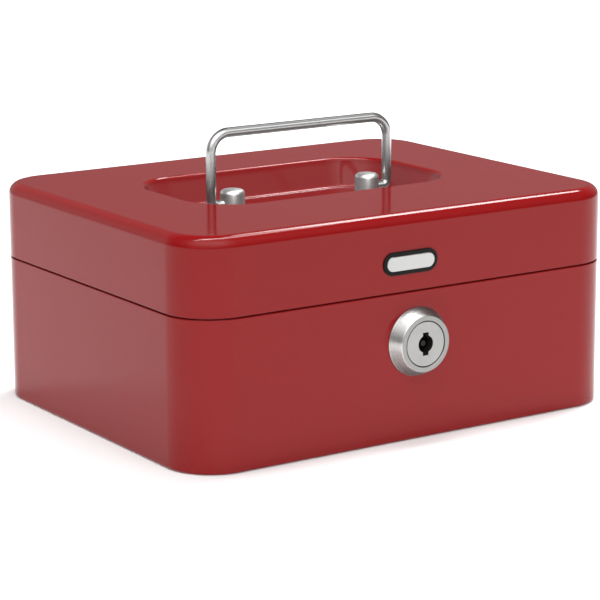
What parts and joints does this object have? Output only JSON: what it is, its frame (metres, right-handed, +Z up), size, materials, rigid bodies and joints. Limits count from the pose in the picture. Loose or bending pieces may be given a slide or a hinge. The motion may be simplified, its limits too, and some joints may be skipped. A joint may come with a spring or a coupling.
{
  "type": "cash box",
  "caption": "Small lockable steel cash box with a hinged drawn lid, a folding wire handle in a pressed well, a front cam lock and a lift-out coin tray.",
  "frame": {"origin": "centre of the box's underside, on the surface it stands on", "axes": "+X to the right facing the lock, +Y to the rear where the hinges are, +Z up"},
  "size_m": [0.202, 0.1681, 0.1155],
  "materials": {
    "red_paint": "glossy red powder coat on sheet steel",
    "zinc_steel": "bright zinc plate",
    "nickel_wire": "polished nickel plate",
    "nickel_post": "nickel plate, lightly polished",
    "satin_nickel": "satin nickel on die-cast zinc",
    "lock_inner": "dark oiled steel",
    "lock_brass": "blanked brass",
    "badge_rim": "gloss black",
    "badge_face": "bright, lightly grained",
    "tray_plastic": "black moulded polystyrene, fine matt grain"
  },
  "bodies": {
    "base": {"base_shell": "red_paint", "floor_pan": "red_paint", "tray_ledge_left": "red_paint", "tray_ledge_right": "red_paint", "lock_housing": "satin_nickel", "lock_washer": "zinc_steel", "lock_nut": "zinc_steel", "hinge_base_leaf_left": "zinc_steel", "hinge_base_leaf_right": "zinc_steel", "hinge_pin_left": "zinc_steel", "hinge_pin_right": "zinc_steel"},
    "lid": {"lid_shell": "red_paint", "lid_catch": "zinc_steel", "hinge_lid_leaf_left": "zinc_steel", "hinge_lid_leaf_right": "zinc_steel", "handle_post_left": "nickel_post", "handle_post_right": "nickel_post", "handle_post_washers": "zinc_steel", "badge_plate": "badge_rim", "badge_inlay": "badge_face"},
    "handle": {"handle_bail": "nickel_wire"},
    "lock_cylinder": {"lock_plug": "satin_nickel", "lock_key_post": "lock_inner", "lock_discs": "lock_brass", "cam_stop_washer": "zinc_steel", "lock_cam": "zinc_steel", "cam_spring_washer": "zinc_steel", "cam_screw": "zinc_steel"},
    "tray": {"coin_tray": "tray_plastic"}
  },
  "joints": [
    {"name": "lid_hinge", "type": "hinge", "parent": "base", "child": "lid", "pos_m": [0, 0.0798, 0.05935], "axis": [-1, 0, 0], "range_deg": [0, 100]},
    {"name": "handle_swing", "type": "hinge", "parent": "lid", "child": "handle", "pos_m": [0, 0.001, 0.0844], "axis": [1, 0, 0], "range_deg": [-98, 75]},
    {"name": "lock_turn", "type": "hinge", "parent": "base", "child": "lock_cylinder", "pos_m": [0, -0.08, 0.0392], "axis": [0, 1, 0], "range_deg": [0, 90]},
    {"name": "tray_lift", "type": "slide", "parent": "base", "child": "tray", "axis": [0, 0, 1], "range_m": [0, 0.005]}
  ]
}
